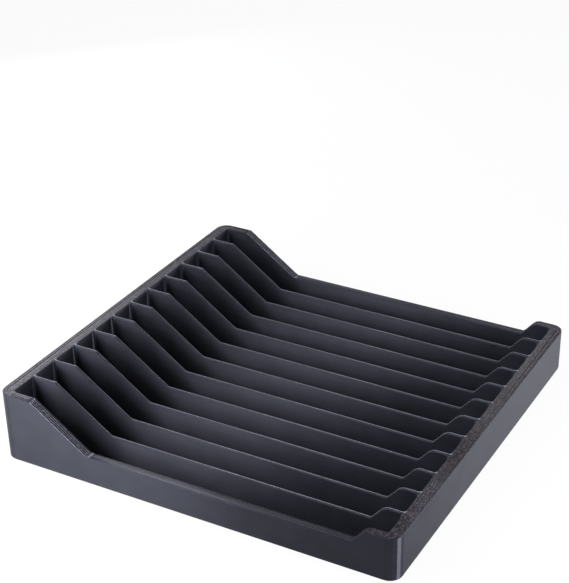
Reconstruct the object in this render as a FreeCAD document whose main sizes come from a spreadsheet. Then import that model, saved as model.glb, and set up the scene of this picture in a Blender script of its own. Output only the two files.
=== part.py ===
"""Slotted desk rack: a shallow tray whose upright dividers form narrow slots.

Each slot runs along X from the tall end (-X) to the low end (+X), and the slots follow one another
along Y from front to back. The origin is the middle of the underside, +Z is up, sizes are in mm.
"""
import FreeCAD, Part
import math
import os
import Sketcher
from FreeCAD import Vector

# Driving sizes in mm, and one count
DRIVING = [
    ("slot_count", 12, "slots from front to back"),
    ("slot_width", 11.0, "clear width of one slot"),
    ("slot_length", 146.0, "clear length of a slot, end wall to end wall"),
    ("divider_thickness", 1.2, "plate between two slots"),
    ("end_wall", 4.6, "walls at the tall and the low end"),
    ("side_wall", 3.3, "walls in front and at the back"),
    ("floor_thickness", 1.6, "floor below the slots"),
    ("tall_height", 26.8, "top of the tall end above the underside"),
    ("low_height", 16.8, "top of the low end above the underside"),
    ("waist_height", 11.0, "top of the dipped middle above the underside"),
    ("tall_flat", 9.6, "level top beside the tall end wall"),
    ("slope_run", 22.3, "how far the long slope reaches along the slot"),
    ("low_flat", 7.0, "level top beside the low end wall"),
    ("ramp_run", 4.9, "how far the short ramp reaches along the slot"),
    ("slope_foot_radius", 2.0, "round where the slope meets the waist"),
    ("ramp_foot_radius", 2.0, "round where the ramp leaves the waist"),
    ("ramp_crest_radius", 4.5, "round where the ramp meets the low top"),
    ("corner_radius", 4.6, "upright outer corners"),
    ("root_radius", 1.2, "upright inner corners, where a divider or wall meets a wall"),
    ("cutter_margin", 5.0, "how far the cutter of the dip stands past the solid"),
]


class Size:
    """A length that keeps its expression for the document and its value for the first drawing."""

    def __init__(self, text, value):
        self.text = text
        self.value = value

    def _joined(self, sign, other, value):
        text = other.text if isinstance(other, Size) else str(other)
        return Size(f"({self.text} {sign} {text})", value)

    def __add__(self, other):
        return self._joined("+", other, self.value + _number(other))

    def __sub__(self, other):
        return self._joined("-", other, self.value - _number(other))

    def __mul__(self, other):
        return self._joined("*", other, self.value * _number(other))

    def __truediv__(self, other):
        return self._joined("/", other, self.value / _number(other))

    def __neg__(self):
        return Size(f"(-1 * {self.text})", -self.value)


def _number(other):
    return other.value if isinstance(other, Size) else other


def fill_sheet(doc):
    """Write the driving sizes into the sheet and return each one as a Size."""
    sheet = doc.addObject("Spreadsheet::Sheet", "sizes")
    size = {}
    for row, (name, value, note) in enumerate(DRIVING, start=1):
        sheet.set(f"A{row}", name)
        sheet.set(f"B{row}", str(value))
        sheet.setAlias(f"B{row}", name)
        sheet.set(f"C{row}", note)
        size[name] = Size(f"sizes.{name}", value)
    doc.recompute()
    return size


def new_sketch(body, name, plane_role):
    """Make a sketch on one of the body's own origin planes."""
    sketch = body.newObject("Sketcher::SketchObject", name)
    plane = next(item for item in body.Origin.OriginFeatures if item.Role == plane_role)
    sketch.AttachmentSupport = [(plane, "")]
    sketch.MapMode = "FlatFace"
    return sketch


def dimension(sketch, kind, name, size, *where):
    """Add a named dimension and bind it to its size."""
    index = sketch.addConstraint(Sketcher.Constraint(kind, *where, size.value))
    sketch.renameConstraint(index, name)
    sketch.setExpression(f"Constraints.{name}", size.text)


def corner_trim(before, corner, after, radius):
    """How far a round of this radius shortens the two sides that meet at a corner."""
    turn = (corner - before).getAngle(after - corner)
    return radius * math.tan(turn / 2)


def round_corner(sketch, name, before, corner, after, sides, radius):
    """Draw one rounded corner and return the construction point at its sharp position."""
    trim = corner_trim(before, corner, after, radius.value)
    arrive = (before - corner).normalize()
    leave = (after - corner).normalize()
    bisector = (arrive + leave).normalize()
    centre = corner + bisector * math.hypot(trim, radius.value)
    start = corner + arrive * trim - centre
    end = corner + leave * trim - centre
    turns_left = start.cross(end).z > 0
    first, last = (start, end) if turns_left else (end, start)
    begin_angle = math.atan2(first.y, first.x)
    end_angle = math.atan2(last.y, last.x)
    circle = Part.Circle(centre, Vector(0, 0, 1), radius.value)
    arc = sketch.addGeometry(Part.ArcOfCircle(circle, begin_angle, end_angle))
    sharp = sketch.addGeometry(Part.Point(corner), True)
    side_in, side_out = sides
    arc_in, arc_out = (1, 2) if turns_left else (2, 1)
    sketch.addConstraint(Sketcher.Constraint("Tangent", side_in, 2, arc, arc_in))
    sketch.addConstraint(Sketcher.Constraint("Tangent", side_out, 1, arc, arc_out))
    sketch.addConstraint(Sketcher.Constraint("PointOnObject", sharp, 1, side_in))
    sketch.addConstraint(Sketcher.Constraint("PointOnObject", sharp, 1, side_out))
    dimension(sketch, "Radius", f"{name}_radius", radius, arc)
    return sharp


def outline(sketch, corners):
    """Draw a closed outline. Each corner is its name, its two coordinates and a radius or None."""
    points = [Vector(across.value, up.value, 0) for _, across, up, _ in corners]
    trims = []
    for index, (_, _, _, radius) in enumerate(corners):
        before, corner, after = points[index - 1], points[index], points[(index + 1) % len(points)]
        trims.append(corner_trim(before, corner, after, radius.value) if radius else 0.0)
    sides = []
    for index, start in enumerate(points):
        following = (index + 1) % len(points)
        end = points[following]
        along = (end - start).normalize()
        line = Part.LineSegment(start + along * trims[index], end - along * trims[following])
        sides.append(sketch.addGeometry(line))
    for index, (name, across, up, radius) in enumerate(corners):
        side_in, side_out = sides[index - 1], sides[index]
        if radius:
            before, after = points[index - 1], points[(index + 1) % len(points)]
            point = round_corner(sketch, name, before, points[index], after, (side_in, side_out), radius)
        else:
            sketch.addConstraint(Sketcher.Constraint("Coincident", side_in, 2, side_out, 1))
            point = side_out
        dimension(sketch, "DistanceX", f"{name}_across", across, -1, 1, point, 1)
        dimension(sketch, "DistanceY", f"{name}_up", up, -1, 1, point, 1)


def rounded_rectangle(sketch, half_length, half_depth, radius):
    """Draw a rectangle about the origin with its four corners rounded."""
    outline(sketch, [
        ("back_right", half_length, half_depth, radius),
        ("back_left", -half_length, half_depth, radius),
        ("front_left", -half_length, -half_depth, radius),
        ("front_right", half_length, -half_depth, radius),
    ])


def divider_plan(sketch, half_length, half_thickness, radius):
    """Draw a divider seen from above: a thin plate that flares in quarter rounds at both ends."""
    across, half, flare = half_length.value, half_thickness.value, radius.value
    quarter = math.pi / 2
    arcs = []
    for side_x, side_y, begin in [(1, 1, 3), (-1, 1, 2), (-1, -1, 1), (1, -1, 0)]:
        centre = Vector(side_x * (across - flare), side_y * (half + flare), 0)
        circle = Part.Circle(centre, Vector(0, 0, 1), flare)
        arc = Part.ArcOfCircle(circle, begin * quarter, (begin + 1) * quarter)
        arcs.append(sketch.addGeometry(arc))
    back_right, back_left, front_left, front_right = arcs
    straight = across - flare
    tip = half + flare
    back = sketch.addGeometry(Part.LineSegment(Vector(straight, half, 0), Vector(-straight, half, 0)))
    front = sketch.addGeometry(Part.LineSegment(Vector(-straight, -half, 0), Vector(straight, -half, 0)))
    left = sketch.addGeometry(Part.LineSegment(Vector(-across, tip, 0), Vector(-across, -tip, 0)))
    right = sketch.addGeometry(Part.LineSegment(Vector(across, -tip, 0), Vector(across, tip, 0)))
    for line, line_end, arc, arc_end in [
        (back, 1, back_right, 1),
        (back, 2, back_left, 2),
        (front, 1, front_left, 1),
        (front, 2, front_right, 2),
    ]:
        sketch.addConstraint(Sketcher.Constraint("Tangent", line, line_end, arc, arc_end))
    for line, line_end, arc, arc_end in [
        (left, 1, back_left, 1),
        (left, 2, front_left, 2),
        (right, 1, front_right, 1),
        (right, 2, back_right, 2),
    ]:
        sketch.addConstraint(Sketcher.Constraint("Coincident", line, line_end, arc, arc_end))
        sketch.addConstraint(Sketcher.Constraint("Horizontal", arc, arc_end, arc, 3))
    sketch.addConstraint(Sketcher.Constraint("Horizontal", back))
    sketch.addConstraint(Sketcher.Constraint("Horizontal", front))
    sketch.addConstraint(Sketcher.Constraint("Vertical", left))
    sketch.addConstraint(Sketcher.Constraint("Vertical", right))
    for arc in arcs[1:]:
        sketch.addConstraint(Sketcher.Constraint("Equal", back_right, arc))
    sketch.addConstraint(Sketcher.Constraint("Symmetric", back_right, 2, front_left, 2, -1, 1))
    dimension(sketch, "Radius", "flare_radius", radius, back_right)
    dimension(sketch, "DistanceX", "half_length", half_length, -1, 1, right, 2)
    dimension(sketch, "DistanceY", "half_thickness", half_thickness, -1, 1, back, 1)


def pad(body, name, sketch, length):
    """Raise a sketch upwards by a bound length."""
    feature = body.newObject("PartDesign::Pad", name)
    feature.Profile = sketch
    feature.setExpression("Length", length.text)
    return feature


def cut_cavity(doc, body, size, half_length, half_depth):
    """Cut the space inside the walls down to the floor."""
    sketch = new_sketch(body, f"{body.Name}_cavity_outline", "XY_Plane")
    rounded_rectangle(sketch, half_length, half_depth, size["root_radius"])
    sketch.setExpression("AttachmentOffset.Base.z", size["floor_thickness"].text)
    pocket = body.newObject("PartDesign::Pocket", f"{body.Name}_cavity")
    pocket.Profile = sketch
    pocket.Type = "ThroughAll"
    pocket.Reversed = True
    doc.recompute()
    return pocket


def cut_dip(doc, body, size, half_length):
    """Cut the stepped top: level at the tall end, a long slope, the waist, a short ramp, the low top."""
    sketch = new_sketch(body, f"{body.Name}_dip_outline", "XZ_Plane")
    slope_top = -half_length + size["tall_flat"]
    slope_foot = slope_top + size["slope_run"]
    ramp_crest = half_length - size["low_flat"]
    ramp_foot = ramp_crest - size["ramp_run"]
    beyond = half_length + size["end_wall"] + size["cutter_margin"]
    above = size["tall_height"] + size["cutter_margin"]
    outline(sketch, [
        ("slope_top", slope_top, size["tall_height"], None),
        ("slope_foot", slope_foot, size["waist_height"], size["slope_foot_radius"]),
        ("ramp_foot", ramp_foot, size["waist_height"], size["ramp_foot_radius"]),
        ("ramp_crest", ramp_crest, size["low_height"], size["ramp_crest_radius"]),
        ("beyond_low_end", beyond, size["low_height"], None),
        ("above_low_end", beyond, above, None),
        ("above_slope", slope_top, above, None),
    ])
    pocket = body.newObject("PartDesign::Pocket", f"{body.Name}_dip")
    pocket.Profile = sketch
    pocket.Type = "ThroughAll"
    pocket.SideType = "Symmetric"
    doc.recompute()
    return pocket


def new_body(doc, label):
    body = doc.addObject("PartDesign::Body", label)
    body.Label = label
    return body


def make_tray(doc, size, half_length, half_depth):
    """The floor and the four walls: a round-cornered block, hollowed, with the dip cut through."""
    body = new_body(doc, "tray")
    sketch = new_sketch(body, "tray_outline", "XY_Plane")
    outer_length = half_length + size["end_wall"]
    outer_depth = half_depth + size["side_wall"]
    rounded_rectangle(sketch, outer_length, outer_depth, size["corner_radius"])
    pad(body, "tray_block", sketch, size["tall_height"])
    doc.recompute()
    cut_cavity(doc, body, size, half_length, half_depth)
    cut_dip(doc, body, size, half_length)
    return body


def make_divider(doc, size, number, half_length, half_depth):
    """One upright plate, flush with the walls' stepped top, standing behind slot `number`."""
    label = f"divider_{number:02d}"
    body = new_body(doc, label)
    sketch = new_sketch(body, f"{label}_plan", "XY_Plane")
    divider_plan(sketch, half_length, size["divider_thickness"] / 2, size["root_radius"])
    sketch.setExpression("AttachmentOffset.Base.z", size["floor_thickness"].text)
    pad(body, f"{label}_plate", sketch, size["tall_height"] - size["floor_thickness"])
    doc.recompute()
    cut_dip(doc, body, size, half_length)
    pitch = size["slot_width"] + size["divider_thickness"]
    place = -half_depth + pitch * number - size["divider_thickness"] / 2
    body.setExpression("Placement.Base.y", place.text)
    return body


def check_document(doc, bodies):
    """Stop on a failed feature, a loose sketch, a cut that cuts nothing or a bad shape."""
    for item in doc.Objects:
        if "Invalid" in item.State or "Error" in item.State:
            raise RuntimeError(f"{item.Name} failed: {item.State}")
        if item.isDerivedFrom("Sketcher::SketchObject") and not item.FullyConstrained:
            raise RuntimeError(f"{item.Name} isn't fully constrained")
        if item.isDerivedFrom("PartDesign::Pocket") and item.Shape.Volume >= item.BaseFeature.Shape.Volume:
            raise RuntimeError(f"{item.Name} cuts nothing")
    for body in bodies:
        if body.Shape.isNull() or not body.Shape.isValid() or len(body.Shape.Solids) != 1:
            raise RuntimeError(f"{body.Label} isn't one valid solid")


def main():
    doc = FreeCAD.newDocument("slotted_rack")
    size = fill_sheet(doc)
    divider_count = size["slot_count"].value - 1
    slots = size["slot_count"] * size["slot_width"]
    plates = (size["slot_count"] - 1) * size["divider_thickness"]
    half_length = size["slot_length"] / 2
    half_depth = (slots + plates) / 2
    bodies = [make_tray(doc, size, half_length, half_depth)]
    for number in range(1, divider_count + 1):
        bodies.append(make_divider(doc, size, number, half_length, half_depth))
    doc.recompute()
    check_document(doc, bodies)
    os.makedirs("parts", exist_ok=True)
    for body in bodies:
        body.Shape.exportStep(f"parts/{body.Label}.step")
        box = body.Shape.BoundBox
        print(f"{body.Label}: {box.XLength:.2f} x {box.YLength:.2f} x {box.ZLength:.2f} mm,"
              f" y {box.YMin:.2f} to {box.YMax:.2f}, volume {body.Shape.Volume:.1f} mm3")


main()
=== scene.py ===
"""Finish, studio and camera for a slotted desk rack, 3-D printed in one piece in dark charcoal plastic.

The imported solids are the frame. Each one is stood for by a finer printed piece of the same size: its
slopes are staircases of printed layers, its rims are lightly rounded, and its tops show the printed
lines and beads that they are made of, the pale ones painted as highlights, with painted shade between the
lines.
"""

import math
import random

import bmesh
import bpy
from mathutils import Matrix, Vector


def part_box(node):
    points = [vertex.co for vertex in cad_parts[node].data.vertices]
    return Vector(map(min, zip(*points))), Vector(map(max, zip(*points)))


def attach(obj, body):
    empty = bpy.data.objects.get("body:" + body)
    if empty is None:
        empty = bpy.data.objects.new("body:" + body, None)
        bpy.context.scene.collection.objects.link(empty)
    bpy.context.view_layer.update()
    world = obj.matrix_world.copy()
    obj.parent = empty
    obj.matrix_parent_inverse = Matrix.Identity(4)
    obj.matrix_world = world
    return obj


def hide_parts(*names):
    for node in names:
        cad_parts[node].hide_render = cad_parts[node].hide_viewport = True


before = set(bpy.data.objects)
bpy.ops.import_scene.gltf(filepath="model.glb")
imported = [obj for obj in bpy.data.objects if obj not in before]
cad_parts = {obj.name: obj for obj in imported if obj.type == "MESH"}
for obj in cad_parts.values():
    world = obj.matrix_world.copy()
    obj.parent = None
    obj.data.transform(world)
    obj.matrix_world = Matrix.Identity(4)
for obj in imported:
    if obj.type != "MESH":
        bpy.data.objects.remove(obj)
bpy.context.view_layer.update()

MM = 0.001

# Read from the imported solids
HALF_LENGTH, HALF_WIDTH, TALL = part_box("tray")[1]
PLATE_LOW, PLATE_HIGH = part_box("divider_01")
FIRST_MIDDLE = (PLATE_LOW.y + PLATE_HIGH.y) / 2
SLOT_END = PLATE_HIGH.x
FLOOR_TOP = PLATE_LOW.z
DIVIDERS = sorted(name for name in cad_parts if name.startswith("divider_"))

# The same driving sizes as the solids have
SIDE_WALL = 3.3 * MM
PITCH = 12.2 * MM
DIVIDER_THICKNESS = 1.2 * MM
LOW = 16.8 * MM
WAIST = 11.0 * MM
TALL_FLAT = 9.6 * MM
SLOPE_RUN = 22.3 * MM
LOW_FLAT = 7.0 * MM
RAMP_RUN = 4.9 * MM
SLOPE_FOOT_RADIUS = 2.0 * MM
RAMP_FOOT_RADIUS = 2.0 * MM
RAMP_CREST_RADIUS = 4.5 * MM
CORNER_RADIUS = 4.6 * MM
ROOT_RADIUS = 1.2 * MM

# Where the rim bends, measured along the rack, and the side walls' inner faces, measured across it
SLOPE_CREST = TALL_FLAT - SLOT_END
SLOPE_FOOT = SLOPE_CREST + SLOPE_RUN
RAMP_CREST = SLOT_END - LOW_FLAT
RAMP_FOOT = RAMP_CREST - RAMP_RUN
SLOT_SIDE = HALF_WIDTH - SIDE_WALL

# Printed layers, which show as steps on the slopes. A step's place wanders by a share of its tread
LAYER = 0.2 * MM
RISER = 0.02 * MM
TREAD_WANDER = 0.35

# Rounded edges, as (how far in, how far down or up), and the flat strip kept beside each
RIM_ROUND = (0.32 * MM, 0.16 * MM)
FOOT_ROUND = (0.30 * MM, 0.40 * MM)
FLAT_MARGIN = 0.06 * MM

# Grooves along a wall's top, between its printed lines. The shares of their depth go from outside in
GROOVE_COUNT = 4
GROOVE_PITCH = SIDE_WALL / GROOVE_COUNT
GROOVE_HALF_WIDTH = 0.20 * MM
GROOVE_DEPTH = 0.30 * MM
SLOPE_GROOVES = (1.0, 1.0, 1.0, 1.0)
LEVEL_GROOVES = (0.4, 0.4, 0.1, 0.1)

# Grooves across a wall's level top, next to its slope
CROSS_COUNT = 2
CROSS_PITCH = 0.55 * MM
CROSS_DEPTH = 0.14 * MM
CROSS_REACH = CROSS_COUNT * CROSS_PITCH

# A divider's top is two printed beads with a groove between them, as (share of its thickness, drop)
CROWN = [(-0.5, 0.28), (-0.46, 0.12), (-0.38, 0.06), (-0.30, 0.08), (-0.22, 0.20), (-0.08, 0.22),
         (0.0, 0.08), (0.08, 0.0), (0.26, 0.0), (0.36, 0.03), (0.44, 0.12), (0.5, 0.28)]
CROWN_DROP = max(drop for _, drop in CROWN) * MM

# How far the dividers reach into the floor and the end walls
SINK = 0.1 * MM

# How finely rounds are drawn. The upright corners are printed as flat facets
ROUND_CHORDS = 24
EDGE_CHORDS = 4
CORNER_FACETS = 5
SHARP_TURN = math.radians(32)

# Seeds of the steps' wander. A divider adds its number to its seed
TRAY_SEED = 4
DIVIDER_SEED = 100

# Noise in the plastic, as waves in a metre along each axis, and how many octaves it has
STREAKS = ((40, 40, 2200), 3.0)
MOTTLE = ((120, 120, 120), 3.0)
GRAIN = ((1900, 2300, 800), 1.0)
GRAIN_CONTRAST = (0.48, 0.60)
SIDE_CONTRAST = (0.35, 0.65)

# The plastic's gloss and relief
ROUGHNESS, MOTTLED_ROUGHNESS = 0.41, 0.08
GLOSS = 0.26
GLOSS_TINT = (0.82, 0.84, 1.0, 1)
GLOSS_STRETCH, GLOSS_TURN = 1.0, 0.25
RELIEF = 0.12 * MM
STREAK_RELIEF = 0.20

# How level a face has to be to count as a top, and how much more level a wall's slope is taken for
TOP_TILT = (0.85, 0.99)
SLOPE_LIFT = 0.7

# Where one finish gives way to the next, as lengths or as shares of the waist's height
FADE = 0.1 * MM
RAMP_FADE = 2 * MM
ABOVE_FLOOR = (0.5, 0.6)
# The back bead's pale colour is a painted highlight, which starts here
BACK_HIGHLIGHT_START = (0.02 * MM, 0.12 * MM)

# How a wave turns into pale lines of painted highlight with painted shade between them, and how far the
# grain eats into them
LINE_CONTRAST = (0.45, 0.97)
CROSS_CONTRAST = (0.0, 0.8)
LINE_BODY, LINE_GRAIN = 0.4, 0.6

# Finishes, each from its dark places to its pale ones. In the waist and slope lines the dark is painted
# shade and the pale is painted highlight, and the pale back bead is a painted highlight
SIDES = [(0.006, 0.0062, 0.0084, 1), (0.011, 0.0114, 0.0154, 1)]
SANDY_TOPS = [(0.0005, 0.0005, 0.0006, 1), (0.050, 0.038, 0.044, 1)]
# Painted shade in the dark between the lines and painted highlights on the pale lines
WAIST_SHADE_AND_HIGHLIGHT = [(0.002, 0.002, 0.003, 1), (0.062, 0.064, 0.077, 1)]
SLOPE_SHADE_AND_HIGHLIGHT = [(0.001, 0.001, 0.0012, 1), (0.36, 0.362, 0.42, 1)]
FRONT_BEAD = [(0.008, 0.008, 0.010, 1), (0.024, 0.024, 0.029, 1)]
# The pale back bead is a painted highlight
BACK_BEAD_HIGHLIGHT = [(0.110, 0.110, 0.125, 1), (0.170, 0.170, 0.190, 1)]

# The studio. The floor lies just under the rack
WHITE = (1, 1, 1, 1)
FLOOR_REACH = 6.0
FLOOR_HEIGHT = -0.05 * MM
FLOOR_COLOUR = (0.72, 0.72, 0.73, 1)
FLOOR_WHITENESS = 0.94
AMBIENT_COLOUR = (0.9, 0.93, 1.0, 1)
AMBIENT_LEVEL = 0.15
LAMP_COLOUR = (0.95, 0.97, 1.06)

# The photograph's frame in pixels and the middle of its view, and the camera's place in metres
FRAME_WIDE, FRAME_HIGH = 569, 583
VIEW_MIDDLE = (337.36, 327.87)
FOCAL_PIXELS = 1500.1
SENSOR_WIDTH = 36.0
CAMERA_PLACE = Vector((0.23196, -0.41444, 0.30829))
CAMERA_AHEAD = Vector((-0.398785, 0.769148, -0.499382))
NEAREST, FURTHEST = 0.01, 50


def rounded_line(corners):
    """A line through corners (place, height, radius) with its rounds drawn as short chords."""
    points = [Vector(corner[:2]) for corner in corners]
    line = []
    for index, (corner, (_, _, radius)) in enumerate(zip(points, corners)):
        if radius == 0:
            line.append(corner)
            continue
        arrive = (points[index - 1] - corner).normalized()
        leave = (points[index + 1] - corner).normalized()
        half_angle = arrive.angle(leave) / 2
        trim = radius / math.tan(half_angle)
        centre = corner + (arrive + leave).normalized() * (radius / math.sin(half_angle))
        first = corner + arrive * trim - centre
        last = corner + leave * trim - centre
        steps = [step / ROUND_CHORDS for step in range(ROUND_CHORDS + 1)]
        line += [centre + first.slerp(last, step).normalized() * radius for step in steps]
    return line


def rim_line():
    """The rim that long walls and dividers share, from the tall end to the low end."""
    return rounded_line([
        (-HALF_LENGTH, TALL, 0),
        (SLOPE_CREST, TALL, 0),
        (SLOPE_FOOT, WAIST, SLOPE_FOOT_RADIUS),
        (RAMP_FOOT, WAIST, RAMP_FOOT_RADIUS),
        (RAMP_CREST, LOW, RAMP_CREST_RADIUS),
        (HALF_LENGTH, LOW, 0),
    ])


def staircase(line, wander):
    """The risers of a line once printed: pairs of places and heights, one layer apart."""
    steps = []
    for before, after in zip(line, line[1:]):
        falling = after.y < before.y
        lowest, highest = sorted((before.y / LAYER, after.y / LAYER))
        levels = range(math.ceil(lowest - 0.5), math.ceil(highest - 0.5))
        for level in reversed(levels) if falling else levels:
            run = (after.x - before.x) / (after.y - before.y)
            place = before.x + ((level + 0.5) * LAYER - before.y) * run
            place += abs(run) * LAYER * wander.uniform(-TREAD_WANDER, TREAD_WANDER)
            first, last = (level + 1, level) if falling else (level, level + 1)
            steps.append((place - RISER, first * LAYER))
            steps.append((place + RISER, last * LAYER))
    return steps


def cross_grooves(end, height, away):
    """Grooves across a wall's level top, side by side from where its slope ends."""
    steps = []
    for number in range(CROSS_COUNT):
        middle = end + away * CROSS_PITCH * (number + 1)
        steps.append((middle - GROOVE_HALF_WIDTH, height))
        steps.append((middle, height - CROSS_DEPTH))
        steps.append((middle + GROOVE_HALF_WIDTH, height))
    return steps


def shoulder(size):
    """A rounded edge as (how far in, how far down), from its upright side to its level side."""
    across, down = size
    turns = [math.pi / 2 * step / EDGE_CHORDS for step in range(EDGE_CHORDS + 1)]
    return [(across * (1 - math.cos(turn)), down * (1 - math.sin(turn))) for turn in turns]


def sew(bm, rows, closed):
    """Join rows of points with faces. Each row has as many points, and closed also joins the ends."""
    grid = [[bm.verts.new(point) for point in row] for row in rows]
    pairs = list(zip(grid, grid[1:]))
    if closed:
        pairs.append((grid[-1], grid[0]))
    for row, following in pairs:
        for index in range(len(row) - 1):
            bm.faces.new((row[index], row[index + 1], following[index + 1], following[index]))
    return grid


def crease(bm, rows):
    """Mark the edges along these rows as crisp, so that the facets between them stay flat."""
    for row in rows:
        for first, last in zip(row, row[1:]):
            bm.edges.get((first, last)).smooth = False


def add_piece(bm, name, node, finish):
    """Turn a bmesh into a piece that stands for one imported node."""
    bmesh.ops.recalc_face_normals(bm, faces=bm.faces)
    for face in bm.faces:
        face.smooth = True
    for edge in bm.edges:
        edge.smooth = edge.smooth and edge.calc_face_angle(0) < SHARP_TURN
    mesh = bpy.data.meshes.new(name)
    bm.to_mesh(mesh)
    bm.free()
    mesh.materials.append(finish)
    piece = bpy.data.objects.new(name, mesh)
    bpy.context.scene.collection.objects.link(piece)
    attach(piece, "root")
    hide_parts(node)


def wall_cut(outer, inner, top, grooves):
    """One cut through a wall, from under its outer face, over its top and down to the floor."""
    width = (inner - outer).length
    inward = (inner - outer) / width
    rim_start = top - RIM_ROUND[1] - FLAT_MARGIN
    cut = shoulder(FOOT_ROUND)[::-1]
    cut += [(0, FOOT_ROUND[1] + FLAT_MARGIN), (0, rim_start)]
    cut += [(across, top - down) for across, down in shoulder(RIM_ROUND)]
    for number, share in enumerate(grooves):
        middle = width * (number + 0.5) / GROOVE_COUNT
        cut.append((middle - GROOVE_HALF_WIDTH, top))
        cut.append((middle, top - GROOVE_DEPTH * share))
        cut.append((middle + GROOVE_HALF_WIDTH, top))
    cut += [(width - across, top - down) for across, down in shoulder(RIM_ROUND)[::-1]]
    cut += [(width, rim_start), (width, FLOOR_TOP)]
    return [(*(outer + inward * across), height) for across, height in cut]


def long_wall(side, steps):
    """The cuts of a long wall, one at each printed step. side is -1 for the front and 1 for the back."""
    rows = []
    for place, height in steps:
        outer = Vector((place, side * HALF_WIDTH))
        inner = Vector((place, side * SLOT_SIDE))
        grooves = SLOPE_GROOVES if SLOPE_CREST < place < SLOPE_FOOT else LEVEL_GROOVES
        rows.append(wall_cut(outer, inner, height, grooves))
    return rows


def wall_corner(end, side, first_turn):
    """The cuts round an upright corner, a quarter turn. end is -1 at the tall end and 1 at the low end."""
    height = TALL if end < 0 else LOW
    outer_centre = Vector((end * (HALF_LENGTH - CORNER_RADIUS), side * (HALF_WIDTH - CORNER_RADIUS)))
    inner_centre = Vector((end * (SLOT_END - ROOT_RADIUS), side * (SLOT_SIDE - ROOT_RADIUS)))
    rows = []
    for step in range(CORNER_FACETS + 1):
        turn = math.radians(first_turn + 90 * step / CORNER_FACETS)
        out = Vector((math.cos(turn), math.sin(turn)))
        outer = outer_centre + out * CORNER_RADIUS
        inner = inner_centre + out * ROOT_RADIUS
        rows.append(wall_cut(outer, inner, height, LEVEL_GROOVES))
    return rows


def build_tray(finish):
    """Floor and walls as one ring of wall cuts, closed by its floor and its underside."""
    steps = cross_grooves(SLOPE_CREST, TALL, -1)
    steps += staircase(rim_line(), random.Random(TRAY_SEED))
    steps += cross_grooves(SLOPE_FOOT + CROSS_PITCH, WAIST, 1)
    steps.sort()
    front = long_wall(-1, steps)
    low_end = wall_corner(1, -1, -90) + wall_corner(1, 1, 0)
    back = long_wall(1, steps[::-1])
    tall_end = wall_corner(-1, 1, 90) + wall_corner(-1, -1, 180)
    bm = bmesh.new()
    grid = sew(bm, front + low_end + back + tall_end, closed=True)
    after_low_end = len(front) + len(low_end)
    crease(bm, grid[len(front):after_low_end] + grid[after_low_end + len(back):])
    bm.faces.new([row[0] for row in grid])
    bm.faces.new([row[-1] for row in grid])
    add_piece(bm, "tray_print", "tray", finish)


def plate_half_width(place):
    """Half of a divider's thickness at a place along it, flared where it grows into an end wall."""
    into_flare = ROOT_RADIUS - (SLOT_END - abs(place))
    if into_flare <= 0:
        return DIVIDER_THICKNESS / 2
    reach = min(into_flare, ROOT_RADIUS)
    return DIVIDER_THICKNESS / 2 + ROOT_RADIUS - math.sqrt(ROOT_RADIUS ** 2 - reach ** 2)


def plate_cut(middle, place, top):
    """One cut through a divider, up its front face, over its beads and down its back face."""
    half = plate_half_width(place)
    foot = FLOOR_TOP - SINK
    crown_start = top - CROWN_DROP - FLAT_MARGIN
    cut = [(-half, foot), (-half, crown_start)]
    cut += [(2 * half * share, top - drop * MM) for share, drop in CROWN]
    cut += [(half, crown_start), (half, foot)]
    return [(place, middle + across, height) for across, height in cut]


def build_divider(node, number, finish):
    """One plate between two slots, with its printed slopes and its flared roots."""
    low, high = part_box(node)
    middle = (low.y + high.y) / 2
    end = SLOT_END + RIM_ROUND[0] + SINK
    flare = [SLOT_END - ROOT_RADIUS * (1 - math.sin(math.pi / 2 * step / CORNER_FACETS))
             for step in range(CORNER_FACETS + 1)]
    tall_end = [(-place, TALL) for place in [end, *reversed(flare)]]
    low_end = [(place, LOW) for place in [*flare, end]]
    steps = staircase(rim_line(), random.Random(DIVIDER_SEED + number))
    bm = bmesh.new()
    cuts = [plate_cut(middle, place, top) for place, top in tall_end + steps + low_end]
    grid = sew(bm, cuts, closed=False)
    crease(bm, grid[:len(tall_end)] + grid[-len(low_end):])
    for row, following in zip(grid, grid[1:]):
        bm.faces.new((row[-1], row[0], following[0], following[-1]))
    bm.faces.new(grid[0])
    bm.faces.new(grid[-1])
    add_piece(bm, node + "_print", node, finish)


class Wire:
    """A shader socket that can be used in sums, which add Math nodes."""

    def __init__(self, shader, socket):
        self.shader = shader
        self.socket = socket

    def _with(self, operation, first, second):
        return self.shader.add("Math", {"operation": operation}, {0: first, 1: second})

    def __add__(self, other):
        return self._with("ADD", self, other)

    __radd__ = __add__

    def __sub__(self, other):
        return self._with("SUBTRACT", self, other)

    def __rsub__(self, other):
        return self._with("SUBTRACT", other, self)

    def __mul__(self, other):
        return self._with("MULTIPLY", self, other)

    __rmul__ = __mul__


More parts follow.
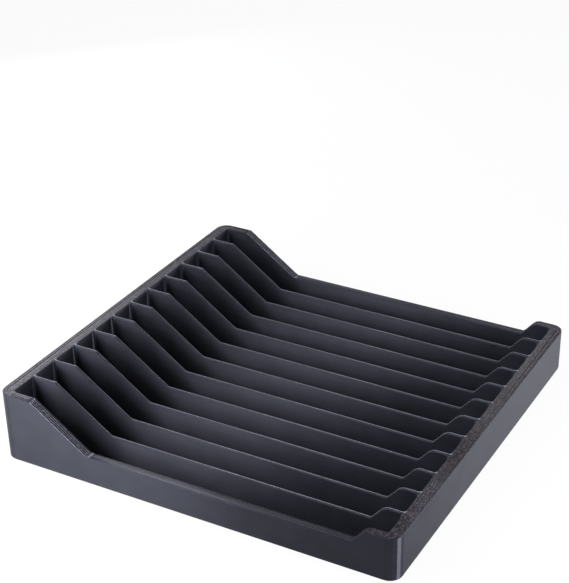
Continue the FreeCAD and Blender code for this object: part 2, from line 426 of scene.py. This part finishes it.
class Shader:
    """A node tree with one method that adds any node, and short names for the ones used most."""

    def __init__(self, owner):
        owner.use_nodes = True
        self.tree = owner.node_tree
        self.tree.nodes.clear()

    def add(self, kind, settings=None, inputs=None, output=0):
        """A new node. Its settings come first, then the values or links of its sockets."""
        node = self.tree.nodes.new("ShaderNode" + kind)
        for name, value in (settings or {}).items():
            setattr(node, name, value)
        for name, value in (inputs or {}).items():
            if isinstance(value, Wire):
                self.tree.links.new(value.socket, node.inputs[name])
            else:
                node.inputs[name].default_value = value
        return Wire(self, node.outputs[output]) if node.outputs else None

    def split(self, vector):
        """The three parts of a vector."""
        node = self.add("SeparateXYZ", inputs={0: vector}).socket.node
        return [Wire(self, socket) for socket in node.outputs]

    def blend(self, factor, first, second):
        """A colour between two colours."""
        return self.add("Mix", {"data_type": "RGBA"}, {0: factor, 6: first, 7: second}, 2)

    def between(self, value, low, high):
        """0 below low, 1 above high, and smooth between them."""
        settings = {"interpolation_type": "SMOOTHSTEP"}
        return self.add("MapRange", settings, {0: value, 1: low, 2: high})

    def stretch(self, place, start, end):
        """1 from start to end and 0 elsewhere. Each is the pair of places that it fades between."""
        return self.between(place, *start) - self.between(place, *end)

    def ripple(self, place, pitch):
        """A wave that is 1 at each multiple of the pitch and -1 halfway between them."""
        return self.add("Math", {"operation": "COSINE"}, {0: place * (2 * math.pi / pitch)})

    def noise(self, place, waves, octaves):
        """Cloudy noise, drawn out or squeezed along each axis."""
        stretched = {axis: place[axis] * waves[axis] for axis in range(3)}
        vector = self.add("CombineXYZ", inputs=stretched)
        return self.add("TexNoise", inputs={"Vector": vector, "Scale": 1.0, "Detail": octaves})

    def seen(self):
        """1 for what the camera or a glossy surface looks at, and 0 for what only gives light."""
        path = self.add("LightPath").socket.node
        camera, glossy, through = [Wire(self, path.outputs[kind + " Ray"]) for kind in
                                   ("Is Camera", "Is Glossy", "Is Transmission")]
        return camera + glossy + through


def printed_plastic(name, tops):
    """Dark charcoal plastic, faintly layered on its sides and grainy on its tops.

    tops is a function that gives two things: how much of a place is a wall's slope, which counts as a
    top too, and the colour of the tops, with its painted highlights and painted shade.
    """
    material = bpy.data.materials.new(name)
    shader = Shader(material)
    place = shader.split(shader.add("TexCoord", output="Object"))
    facing_up = shader.split(shader.add("NewGeometry", output="Normal"))[2]
    streaks = shader.noise(place, *STREAKS)
    mottle = shader.noise(place, *MOTTLE)
    grain = shader.noise(place, *GRAIN)
    # The tops' colour carries the grain together with painted highlights and painted shade
    on_slope, top_colour_and_painted_light = tops(shader, shader.between(grain, *GRAIN_CONTRAST), *place)
    on_top = shader.between(facing_up + SLOPE_LIFT * on_slope, *TOP_TILT)
    side_shade = shader.between(0.5 * streaks + 0.5 * mottle, *SIDE_CONTRAST)
    side_colour = shader.blend(side_shade, *SIDES)
    height = STREAK_RELIEF * streaks * (1 - on_top) + grain * on_top
    relief = shader.add("Bump", inputs={"Strength": 1.0, "Distance": RELIEF, "Height": height})
    surface = shader.add("BsdfPrincipled", inputs={
        "Base Color": shader.blend(on_top, side_colour, top_colour_and_painted_light),
        "Roughness": ROUGHNESS + MOTTLED_ROUGHNESS * mottle,
        "Specular IOR Level": GLOSS,
        "Specular Tint": GLOSS_TINT,
        "Anisotropic": GLOSS_STRETCH,
        "Anisotropic Rotation": GLOSS_TURN,
        "Normal": relief,
    })
    shader.add("OutputMaterial", inputs={"Surface": surface})
    return material


def wall_tops(shader, grain, along, across, up):
    """Sandy level tops, and lines of painted highlight with painted shade between them: faint along the
    waist, pale down the slope and across its ends.

    All but the sand is kept to the walls' raised tops, so that the slots' floors have none of it.
    """
    low, high = ABOVE_FLOOR
    raised = shader.between(up, low * WAIST, high * WAIST)
    slope_start = (SLOPE_CREST - FADE, SLOPE_CREST)
    slope_end = (SLOPE_FOOT, SLOPE_FOOT + FADE)
    on_slope = shader.stretch(along, slope_start, slope_end) * raised
    cross_start = (SLOPE_CREST - CROSS_REACH - FADE, SLOPE_CREST - CROSS_REACH)
    cross_end = (SLOPE_FOOT + CROSS_REACH, SLOPE_FOOT + CROSS_REACH + FADE)
    by_slope = shader.stretch(along, cross_start, cross_end) * raised
    on_waist = shader.stretch(along, slope_end, (RAMP_FOOT, RAMP_FOOT + RAMP_FADE)) * raised

    # The pale lines are painted highlights, and the near-black between them is painted shade
    long_wave = shader.ripple(across - HALF_WIDTH, GROOVE_PITCH)
    long_highlights = shader.between(long_wave, *LINE_CONTRAST) * (LINE_BODY + LINE_GRAIN * grain)
    cross_wave = shader.ripple(along - SLOPE_CREST, CROSS_PITCH)
    cross_highlights = shader.between(cross_wave, *CROSS_CONTRAST) * (1 - on_slope)
    lines = shader.add("Math", {"operation": "MAXIMUM"}, {0: long_highlights * on_slope, 1: cross_highlights})

    sand = shader.blend(grain, *SANDY_TOPS)
    waist = shader.blend(long_highlights, *WAIST_SHADE_AND_HIGHLIGHT)
    slope = shader.blend(lines, *SLOPE_SHADE_AND_HIGHLIGHT)
    return on_slope, shader.blend(by_slope, shader.blend(on_waist, sand, waist), slope)


def divider_tops(shader, grain, along, across, up):
    """A dark front bead and a pale back bead, the pale one a painted highlight, on every divider, the same
    all along it.
    """
    edges = {0: across - FIRST_MIDDLE, 1: PITCH / 2, 2: -PITCH / 2}
    from_middle = shader.add("Math", {"operation": "WRAP"}, edges)
    # The back bead is painted pale as a highlight on every divider's top
    on_back_highlight = shader.between(from_middle, *BACK_HIGHLIGHT_START)
    front = shader.blend(grain, *FRONT_BEAD)
    back = shader.blend(grain, *BACK_BEAD_HIGHLIGHT)
    return 0, shader.blend(on_back_highlight, front, back)


def build_floor():
    """A plain pale floor that reads as white and keeps a soft shadow under the rack."""
    signs = [(-1, -1), (1, -1), (1, 1), (-1, 1)]
    bm = bmesh.new()
    bm.faces.new([bm.verts.new((x * FLOOR_REACH, y * FLOOR_REACH, FLOOR_HEIGHT)) for x, y in signs])
    mesh = bpy.data.meshes.new("floor")
    bm.to_mesh(mesh)
    bm.free()
    material = bpy.data.materials.new("floor_white")
    shader = Shader(material)
    plain = shader.add("BsdfDiffuse", inputs={"Color": FLOOR_COLOUR})
    white = shader.add("Emission", inputs={"Color": WHITE, "Strength": 1.0})
    mixed = shader.add("MixShader", inputs={0: shader.seen() * FLOOR_WHITENESS, 1: plain, 2: white})
    shader.add("OutputMaterial", inputs={"Surface": mixed})
    mesh.materials.append(material)
    floor = bpy.data.objects.new("floor", mesh)
    bpy.context.scene.collection.objects.link(floor)


def build_backdrop():
    """White where it is seen or mirrored, and a plain soft level as light."""
    world = bpy.data.worlds.new("studio")
    bpy.context.scene.world = world
    shader = Shader(world)
    ambient = shader.add("Background", inputs={"Color": AMBIENT_COLOUR, "Strength": AMBIENT_LEVEL})
    white = shader.add("Background", inputs={"Color": WHITE, "Strength": 1.0})
    mixed = shader.add("MixShader", inputs={0: shader.seen(), 1: ambient, 2: white})
    shader.add("OutputWorld", inputs={"Surface": mixed})


def panel(name, place, target, size, brightness):
    """A lamp with a plain rectangular face, turned to a point. A brightness of 1 looks white."""
    lamp = bpy.data.lights.new(name, "AREA")
    lamp.shape = "RECTANGLE"
    lamp.size, lamp.size_y = size
    lamp.energy = brightness * math.pi * size[0] * size[1]
    lamp.color = LAMP_COLOUR
    light = bpy.data.objects.new(name, lamp)
    light.location = place
    light.rotation_euler = (target - place).to_track_quat("-Z", "Y").to_euler()
    light.visible_camera = False
    bpy.context.scene.collection.objects.link(light)


def softbox(name, sides, heights, distance, brightness):
    """An upright panel round the rack. Its sides are angles from the front, turning to the low end."""
    first_side, last_side = sides
    side = math.radians((first_side + last_side) / 2)
    out = Vector((math.sin(side), -math.cos(side), 0)) * distance
    wide = 2 * distance * math.tan(math.radians(last_side - first_side) / 2)
    low, high = (distance * math.tan(math.radians(angle)) for angle in heights)
    middle = Vector((0, 0, (low + high) / 2))
    panel(name, out + middle, middle, (wide, high - low), brightness)


def build_lamps():
    """Softboxes all round the rack and a weak panel above it."""
    softbox("front_left", sides=(-47, -18), heights=(5, 37), distance=0.21, brightness=13.5)
    softbox("front_high", sides=(-46, -30), heights=(36, 54), distance=0.35, brightness=11.0)
    softbox("left", sides=(-98, -53), heights=(20, 35), distance=0.3, brightness=10.0)
    softbox("back_left", sides=(-145, -117), heights=(5, 35), distance=0.43, brightness=5.9)
    softbox("back_right", sides=(129, 151), heights=(2, 17), distance=0.6, brightness=10.8)
    softbox("right", sides=(72, 88), heights=(1, 17), distance=0.28, brightness=55.0)
    above = Vector((0, 0, 0.8))
    panel("overhead", place=above, target=Vector((0, 0, 0)), size=(0.6, 0.6), brightness=2.1)


def build_camera():
    """The photograph's view, fitted to the rack's edges in it."""
    data = bpy.data.cameras.new("camera")
    data.sensor_width = SENSOR_WIDTH
    longer = max(FRAME_WIDE, FRAME_HIGH)
    data.lens = FOCAL_PIXELS / longer * data.sensor_width
    data.shift_x = (FRAME_WIDE / 2 - VIEW_MIDDLE[0]) / longer
    data.shift_y = (VIEW_MIDDLE[1] - FRAME_HIGH / 2) / longer
    data.clip_start, data.clip_end = NEAREST, FURTHEST
    camera = bpy.data.objects.new("camera", data)
    camera.location = CAMERA_PLACE
    camera.rotation_euler = CAMERA_AHEAD.to_track_quat("-Z", "Y").to_euler()
    bpy.context.scene.collection.objects.link(camera)
    bpy.context.scene.camera = camera


bpy.context.scene.view_settings.view_transform = "Standard"
shell_plastic = printed_plastic("shell_plastic", wall_tops)
divider_plastic = printed_plastic("divider_plastic", divider_tops)
build_tray(shell_plastic)
for number, node in enumerate(DIVIDERS, start=1):
    build_divider(node, number, divider_plastic)
build_floor()
build_backdrop()
build_lamps()
build_camera()
